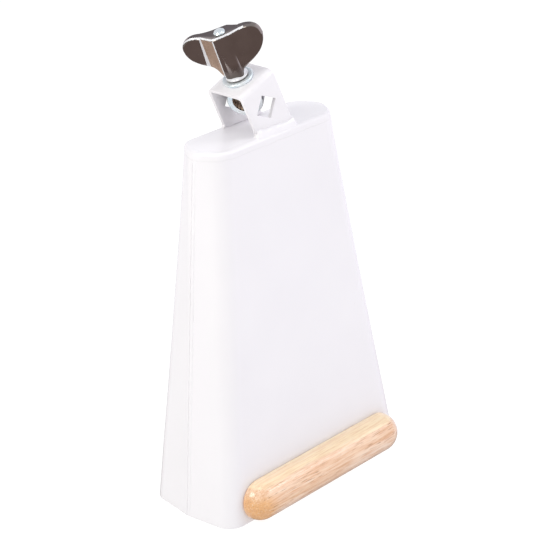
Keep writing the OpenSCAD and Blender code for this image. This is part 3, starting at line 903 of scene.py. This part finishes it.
def wing_nut():
    """Die-cast wing nut: two round ears, a leaning flat on one shoulder of each side painted with a warm reflection,
    painted highlights on the edges.
    """
    left_low = smooth_curve([(0, 2.3), (3.2, 2.3), (4.7, 2.5), (5.5, 3.2), (6.3, 4.4), (7.0, 5.9), (7.7, 7.9), (9.0, 10.2),
                             (11.8, 12.8), (14.7, 14.6), (18.1, 17.6), (20.0, 21.0), (20.6, 24.3)])
    left_up = smooth_curve([(0, 29.2), (3.6, 29.3), (6.6, 29.7), (9.5, 30.3), (11.6, 30.8), (14.1, 30.9), (16.9, 30.1), (18.5, 29.0),
                            (19.6, 27.7), (20.3, 26.1), (20.6, 24.3)])
    right_low = smooth_curve([(0, 2.3), (2.8, 2.3), (4.0, 2.5), (4.4, 3.2), (4.4, 4.3), (4.8, 5.3), (5.8, 6.4), (8.0, 7.9),
                              (11.9, 10.2), (15.6, 13.1), (18.1, 16.2), (19.7, 19.4), (20.6, 23.0)])
    right_up = smooth_curve([(0, 29.2), (3.4, 29.2), (7.0, 29.4), (10.5, 29.8), (13.5, 30.1), (16.4, 29.7), (18.6, 28.4),
                             (20.0, 26.3), (20.6, 23.0)])
    sides = {-1: (left_low, along(left_low), left_up, along(left_up)), 1: (right_low, along(right_low), right_up, along(right_up))}

    def reach(curve, s, u):
        return s[int(np.argmax(curve[:, 0] >= u))]

    KX = np.array([0.0, 0.25, 0.275, 0.50, 0.55, 1.0])
    keys = {}
    for sd, (lc, ls, uc, us) in sides.items():
        foot = ls[int(np.argmax(lc[:, 1] > 2.9))]
        keys[sd] = (np.array([0.0, foot, foot + 0.75, reach(lc, ls, 10.1), reach(lc, ls, 11.7), ls[-1]]),
                    np.array([0.0, reach(uc, us, 3.2), reach(uc, us, 3.75), reach(uc, us, 9.4), reach(uc, us, 10.15), us[-1]]))

    def column(x):
        sd = -1 if x < 0 else 1
        lc, ls, uc, us = sides[sd]
        kl, ku = keys[sd]
        a, c = np.interp(abs(x), KX, kl), np.interp(abs(x), KX, ku)
        lo = np.array([np.interp(a, ls, lc[:, 0]) * sd, np.interp(a, ls, lc[:, 1])])
        hi = np.array([np.interp(c, us, uc[:, 0]) * sd, np.interp(c, us, uc[:, 1])])
        return lo, hi

    # columns, close together at the bright edges and the tips
    right = np.concatenate([np.linspace(0, 0.22, 12)[:-1], [0.222, 0.236, 0.244, 0.25, 0.258, 0.267, 0.275, 0.281, 0.29],
                            np.linspace(0.305, 0.485, 8), [0.494, 0.50, 0.51, 0.525, 0.54, 0.55, 0.556, 0.566],
                            np.linspace(0.58, 0.93, 16)[:-1], 1 - np.geomspace(0.07, 0.003, 10), [1.0]])
    X = np.concatenate([-right[:0:-1], right])
    T = np.concatenate([[0, 0.004, 0.010, 0.019, 0.031, 0.046, 0.065, 0.09], np.linspace(0.12, 0.88, 30),
                        [0.91, 0.935, 0.950, 0.960, 0.968, 0.975, 0.983, 0.991, 1.0]])
    nx, nt = len(X), len(T)
    UK = np.zeros((nx, nt, 2))
    for i, x in enumerate(X):
        a, c = column(x)
        UK[i] = a[None] * (1 - T[:, None]) + c[None] * T[:, None]

    def pchip(x, pts):
        px = np.array([p[0] for p in pts])
        py = np.array([p[1] for p in pts])
        h = np.diff(px)
        dl = np.diff(py) / h
        m = np.zeros(len(px))
        for i in range(1, len(px) - 1):
            if dl[i - 1] * dl[i] > 0:
                w1, w2 = 2 * h[i] + h[i - 1], h[i] + 2 * h[i - 1]
                m[i] = (w1 + w2) / (w1 / dl[i - 1] + w2 / dl[i])
        m[0], m[-1] = dl[0], dl[-1]
        j = np.clip(np.searchsorted(px, x) - 1, 0, len(h) - 1)
        t = (x - px[j]) / h[j]
        return ((2 * t ** 3 - 3 * t ** 2 + 1) * py[j] + (t ** 3 - 2 * t ** 2 + t) * h[j] * m[j]
                + (-2 * t ** 3 + 3 * t ** 2) * py[j + 1] + (t ** 3 - t ** 2) * h[j] * m[j + 1])

    def front(x):
        """Height of the front at the lower and the upper edge, for a column."""
        if x <= -0.55:
            return np.interp(x, [-1, -0.55], [1.1, 2.1]), np.interp(x, [-1, -0.8, -0.55], [1.1, 1.75, 2.9])
        if x <= -0.50:
            return np.interp(x, [-0.55, -0.50], [2.1, 1.55]), np.interp(x, [-0.55, -0.50], [2.9, 2.65])
        if x <= -0.275:
            return np.interp(x, [-0.50, -0.275], [1.55, 1.3]), np.interp(x, [-0.50, -0.275], [2.65, 5.75])
        if x <= -0.25:
            return np.interp(x, [-0.275, -0.25], [1.3, 1.75]), np.interp(x, [-0.275, -0.25], [5.75, 5.8])
        lo = pchip(x, [(-0.25, 1.75), (-0.19, 3.1), (-0.10, 4.4), (0.0, 4.8), (0.12, 4.5), (0.25, 3.2), (0.35, 2.4), (0.5, 1.95),
                       (0.7, 1.6), (1, 1.0)])
        hi = pchip(x, [(-0.25, 5.8), (0, 5.2), (0.25, 4.3), (0.5, 2.5), (0.6, 2.1), (0.8, 1.5), (1, 1.0)])
        return lo, hi

    Q = np.zeros((nx, nt))
    for i, x in enumerate(X):
        lo, hi = front(x)
        Q[i] = lo * (1 - T) + hi * T

    def edge_distance(p, line):
        d = np.full(p.shape[:-1], 1e9)
        a, b = line[:-1], line[1:]
        for k in range(len(a)):
            ab = b[k] - a[k]
            L = ab @ ab
            if L < 1e-12:
                continue
            t = np.clip(((p - a[k]) @ ab) / L, 0, 1)
            d = np.minimum(d, np.linalg.norm(p - (a[k] + t[..., None] * ab), axis=-1))
        return d

    flip = np.array([-1.0, 1.0])
    D_low = np.minimum(edge_distance(UK, right_low), edge_distance(UK, left_low * flip))
    D_up = np.minimum(edge_distance(UK, right_up), edge_distance(UK, left_up * flip))
    D_low[:, 0], D_up[:, -1] = 0, 0
    D_low[0], D_low[-1] = 0, 0
    Qf, Qb = Q, -Q[::-1]
    thick = Qf - Qb
    re = np.minimum(0.95, 0.40 * thick)
    ch = np.minimum(0.85, 0.34 * thick)
    drop = np.where(D_low < re, re - np.sqrt(np.clip(re ** 2 - (re - D_low) ** 2, 0, None)), 0)
    drop = np.maximum(drop, np.clip(ch - D_up, 0, None))
    Qf, Qb = Qf - drop, Qb + drop

    c, s = math.cos(WING_TURN), math.sin(WING_TURN)
    du, dq = np.array([c, s, 0]), np.array([s, -c, 0])

    def place(u, q, k):
        local = u[..., None] * du + q[..., None] * dq
        local[..., 2] = k
        return on_stud(local.reshape(-1, 3))

    vf = place(UK[..., 0], Qf, UK[..., 1])
    vb = place(UK[..., 0], Qb, UK[..., 1])
    v = list(vf) + list(vb)
    f, fm = [], []
    for side, base in ((1, 0), (-1, nx * nt)):
        for i in range(nx - 1):
            x = -side * 0.5 * (X[i] + X[i + 1])
            # kind 1: painted highlight on two narrow strips down each side; kind 2: painted warm reflection on the
            # leaning flat between them
            kind = 1 if (0.50 < x < 0.55 or 0.25 < x < 0.275) else (2 if 0.275 < x < 0.50 else 0)
            for j in range(nt - 1):
                f.append((base + i * nt + j, base + i * nt + j + 1, base + (i + 1) * nt + j + 1, base + (i + 1) * nt + j))
                # a painted highlight line runs along the top's chamfer, less far on the ear without the flat
                lit = -0.62 < x < 0.86
                fm.append(kind if T[j] < 0.955 else (1 if lit and D_up[i, j] < 0.8 and D_up[i, j + 1] < 0.75 else 0))
    # the edge band between the two sides, slightly hollow along the top
    m = 9
    for row, hollow in ((0, 0.0), (nt - 1, 0.2)):
        base = len(v)
        for i in range(nx):
            uk = UK[i, row]
            wid = Qf[i, row] - Qb[i, row]
            for k in range(m):
                t = k / (m - 1)
                q = Qf[i, row] * (1 - t) + Qb[i, row] * t
                dip = hollow * (1 - (2 * t - 1) ** 2) * min(1.0, max(0.0, (wid - 2.0) / 5))
                v.append(place(np.array(uk[0]), np.array(q), np.array(uk[1] - dip))[0])
        g = grid_faces(nx, m, base=base)
        f += g
        fm += [0] * len(g)
    me = raw_mesh("nut_body", np.array(v), f, fm, weld=2e-6)
    # round foot that bears on the washer; a band round its collar carries the painted highlight
    foot = [(2.0, 1.75), (5.2, 1.75), (5.65, 1.85), (5.85, 2.1), (5.85, 2.45), (5.7, 2.75), (5.4, 3.0), (5.1, 3.35), (4.85, 3.9),
            (4.7, 4.6), (2.0, 4.6)]
    fv, ff = revolve(foot, 96, on_stud)
    foot_me = raw_mesh("nut_foot", fv, ff, [1 if 4 <= j % len(foot) <= 8 else 0 for j in range(len(ff))])
    ring = [(3.05 * math.cos(a), 3.05 * math.sin(a)) for a in np.arange(64) * 2 * math.pi / 64]
    bv = [(x, y, k) for k in (0.5, 40.0) for x, y in ring]
    bf = [tuple(range(64)), tuple(range(127, 63, -1))] + [(i, (i + 1) % 64, 64 + (i + 1) % 64, 64 + i) for i in range(64)]
    bore_me = raw_mesh("nut_bore", on_stud(np.array(bv)), bf, [0] * len(bf))
    obs = []
    for part, tmp in (("nut_join", me), ("nut_foot_tmp", foot_me), ("nut_bore_tmp", bore_me)):
        for mat in (CHROME, HIGHLIGHT_EDGE, REFLECTION_FLAT):
            tmp.materials.append(mat)
        obs.append(new_object(part, tmp))
    for ob, op in ((obs[1], "UNION"), (obs[2], "DIFFERENCE")):
        mod = obs[0].modifiers.new(op.lower(), "BOOLEAN")
        mod.operation, mod.solver, mod.object = op, "MANIFOLD", ob
    joined = tidy(evaluated(obs[0]))
    kinds = np.zeros(len(joined.polygons), np.int32)
    joined.polygons.foreach_get("material_index", kinds)
    for ob in obs:
        bpy.data.objects.remove(ob)
    joined.materials.clear()
    ob = finish_piece("wing_nut_casting", joined, [CHROME, HIGHLIGHT_EDGE, REFLECTION_FLAT], "nut", "wing_nut", 28)
    ob.data.polygons.foreach_set("material_index", np.clip(kinds, 0, 2))


wing_nut()


# ---------------------------------------------------------------- strike bar
def strike_bar():
    """Half-round bar with round ends, eased where it meets the bell."""
    e = BAR_D - BAR_R
    x = BAR_L / 2 - BAR_R
    nc, ns = 40, 46
    dirs, cen = [], []
    for k in range(nc):
        a = math.pi / 2 - math.pi * k / nc
        dirs.append((math.cos(a), math.sin(a))); cen.append(x)
    for k in range(ns):
        dirs.append((0.0, -1.0)); cen.append(x - 2 * x * k / ns)
    for k in range(nc):
        a = -math.pi / 2 - math.pi * k / nc
        dirs.append((math.cos(a), math.sin(a))); cen.append(-x)
    for k in range(ns):
        dirs.append((0.0, 1.0)); cen.append(-x + 2 * x * k / ns)
    dirs, cen = np.array(dirs), np.array(cen)
    prof = [(0.0, 0.02), (4.0, 0.02), (8.5, 0.02), (9.9, 0.02), (10.3, 0.07), (10.65, 0.22), (10.9, 0.47), (11.05, 0.80), (11.1, 1.2)]
    prof += [(BAR_R * math.cos(a), e + BAR_R * math.sin(a)) for a in np.radians(np.linspace(0, 90, 34))]
    rows = []
    for rho, h in prof:
        px = BAR_X + cen + dirs[:, 0] * rho
        pz = BAR_MID + dirs[:, 1] * rho
        rows.append(np.stack([px, np.full_like(px, -h), pz], -1))
    rows = on_face(np.array(rows))
    f = grid_faces(rows.shape[0], rows.shape[1], False, True)
    me = raw_mesh("wooden_bar", rows.reshape(-1, 3), f, weld=2e-6)
    bm = bmesh.new()
    bm.from_mesh(me)
    bmesh.ops.holes_fill(bm, edges=[ed for ed in bm.edges if ed.is_boundary], sides=0)
    bmesh.ops.recalc_face_normals(bm, faces=bm.faces)
    bm.to_mesh(me)
    bm.free()
    finish_piece("wooden_bar", me, [WOOD], "bell", "strike_bar", 60)


strike_bar()


def screws():
    """Two pan-head wood screws from inside the bell, cross recess, plain shank and threaded tip."""
    parts = []
    for sx in (BAR_X - 36.0, BAR_X + 36.0):
        def place(p, sx=sx):
            # local z goes from the bar into the bell
            return on_face(np.stack([sx + p[:, 0], p[:, 2], BAR_MID + p[:, 1]], -1))
        prof = [(0.0, -9.0), (0.7, -8.2), (1.3, -7.2)]
        zz = -7.0
        while zz < -1.2:
            prof += [(1.72, zz), (1.25, zz + 0.45)]
            zz += 0.9
        prof += [(1.72, -0.6), (1.72, SHEET - 0.02), (2.4, SHEET), (3.2, SHEET), (3.42, SHEET + 0.15), (3.45, SHEET + 0.45),
                 (3.3, SHEET + 0.95), (2.95, SHEET + 1.35), (2.3, SHEET + 1.68), (1.3, SHEET + 1.86), (0.0, SHEET + 1.9)]
        v, f = revolve(prof, 48, place, closed=False)
        head = raw_mesh("screw", v, f, weld=1e-6)
        tools = []
        for ang in (0.5, 0.5 + math.pi / 2):
            ca, sa = math.cos(ang), math.sin(ang)
            box = []
            for z, half in ((SHEET + 0.75, 1.1), (SHEET + 2.4, 2.1)):
                for px, py in ((-half, -0.42), (half, -0.42), (half, 0.42), (-half, 0.42)):
                    box.append((px * ca - py * sa, px * sa + py * ca, z))
            bf = [(3, 2, 1, 0), (4, 5, 6, 7)] + [(i, (i + 1) % 4, 4 + (i + 1) % 4, 4 + i) for i in range(4)]
            tools.append(raw_mesh("recess", place(np.array(box)), bf))
        parts.append(tidy(carve(head, tools)))
    bm = bmesh.new()
    for p in parts:
        bm.from_mesh(p)
    bmesh.ops.recalc_face_normals(bm, faces=bm.faces)
    me = bpy.data.meshes.new("wood_screws")
    bm.to_mesh(me)
    bm.free()
    finish_piece("wood_screws", me, [ZINC], "bell", "bar_screws", 35)


screws()

# ---------------------------------------------------------------- stage, light, camera
floor_me = bpy.data.meshes.new("floor")
bm = bmesh.new()
bmesh.ops.create_grid(bm, x_segments=8, y_segments=8, size=6.0)
bm.to_mesh(floor_me)
bm.free()
floor_me.materials.append(floor_paper())
floor = new_object("floor", floor_me)
floor.visible_glossy = False


def soft_box(name, azimuth, elevation, distance, size, strength, colour, aim=(0, 0, 0.1)):
    """A square soft light of a given radiance, aimed at the object."""
    ld = bpy.data.lights.new(name, "AREA")
    ld.shape = "RECTANGLE"
    ld.size, ld.size_y = size
    ld.energy = strength * math.pi * size[0] * size[1]
    ld.color = colour
    ob = new_object(name, ld)
    a, e = math.radians(azimuth), math.radians(elevation)
    d = Vector((math.cos(a) * math.cos(e), math.sin(a) * math.cos(e), math.sin(e)))
    ob.location = Vector(aim) + d * distance
    ob.rotation_euler = d.to_track_quat("Z", "Y").to_euler()
    ob.visible_camera = False
    return ob


soft_box("key_left", -154, 30, 1.5, (0.40, 0.40), 3.6, (1.0, 0.985, 0.93))
soft_box("side_left", 168, 38, 1.5, (0.50, 0.50), 9.3, (1.0, 0.99, 0.945))
soft_box("fill_right", -46, 32, 1.5, (0.90, 0.90), 0.75, (0.985, 0.975, 1.0))
soft_box("spark_right", -47.0, 39.0, 1.5, (0.26, 0.26), 8.5, (0.99, 0.985, 1.0))
soft_box("top", -120, 80, 1.6, (1.4, 1.4), 1.0, (0.985, 1.0, 1.0))

# a soft tent: cool and pale on the right, dimmer above; in reflections a dim ground
world = bpy.data.worlds.new("studio")
bpy.context.scene.world = world
world.use_nodes = True
wt = world.node_tree
tc = node(wt, "ShaderNodeTexCoord")
sep = node(wt, "ShaderNodeSeparateXYZ")
wt.links.new(tc.outputs["Generated"], sep.inputs["Vector"])


def card(colour_in, direction, inner, outer, colour):
    """A soft-edged round patch of light in one direction."""
    dot = node(wt, "ShaderNodeVectorMath")
    dot.operation = "DOT_PRODUCT"
    wt.links.new(tc.outputs["Generated"], dot.inputs[0])
    dot.inputs[1].default_value = Vector(direction).normalized()
    f = remap(wt, dot.outputs["Value"], math.cos(math.radians(outer)), math.cos(math.radians(inner)), 0.0, 1.0, True)
    return blend_colour(wt, f, colour_in, colour)


side = remap(wt, sep.outputs["X"], -0.6, 0.6, 0.0, 1.0, True)
walls = blend_colour(wt, side, (0.43, 0.425, 0.405), (0.95, 0.92, 1.02))
high = remap(wt, sep.outputs["Z"], 0.40, 0.62, 0.0, 1.0, True)
sky = blend_colour(wt, high, walls, (0.56, 0.56, 0.59))
sky = card(sky, (0.16, 0.66, 0.73), 20, 30, (0.34, 0.335, 0.38))
sky = card(sky, (0.63, 0.66, 0.41), 10, 24, (1.05, 1.05, 1.10))
steep = remap(wt, sep.outputs["Z"], -0.34, -0.50, 0.0, 1.0, True)
sky = blend_colour(wt, steep, sky, (0.27, 0.215, 0.205))
bg = wt.nodes["Background"]
wt.links.new(sky, bg.inputs["Color"])
bg.inputs["Strength"].default_value = 1.0

az, el, dist, roll = math.radians(-43.492), math.radians(24.452), 988.529, math.radians(-3.422)
back = Vector((math.sin(az) * math.cos(el), -math.cos(az) * math.cos(el), math.sin(el)))
rgt = Vector((math.cos(az), math.sin(az), 0.0))
upv = back.cross(rgt)
aim = Vector((0, SY, 100.0)) + 1.592 * rgt + 17.151 * upv
loc = (aim + back * dist) * 0.001
rx = math.cos(roll) * rgt + math.sin(roll) * upv
ux = math.cos(roll) * upv - math.sin(roll) * rgt
cam_data = bpy.data.cameras.new("camera")
cam_data.sensor_width = 36.0
cam_data.lens = 1851.205 / 540 * 36
cam_data.clip_start, cam_data.clip_end = 0.05, 50
cam = new_object("camera", cam_data)
cam.matrix_world = Matrix(((rx.x, ux.x, back.x, loc.x), (rx.y, ux.y, back.y, loc.y),
                           (rx.z, ux.z, back.z, loc.z), (0, 0, 0, 1)))
bpy.context.scene.camera = cam
bpy.context.scene.view_settings.view_transform = "Standard"

bpy.context.view_layer.update()
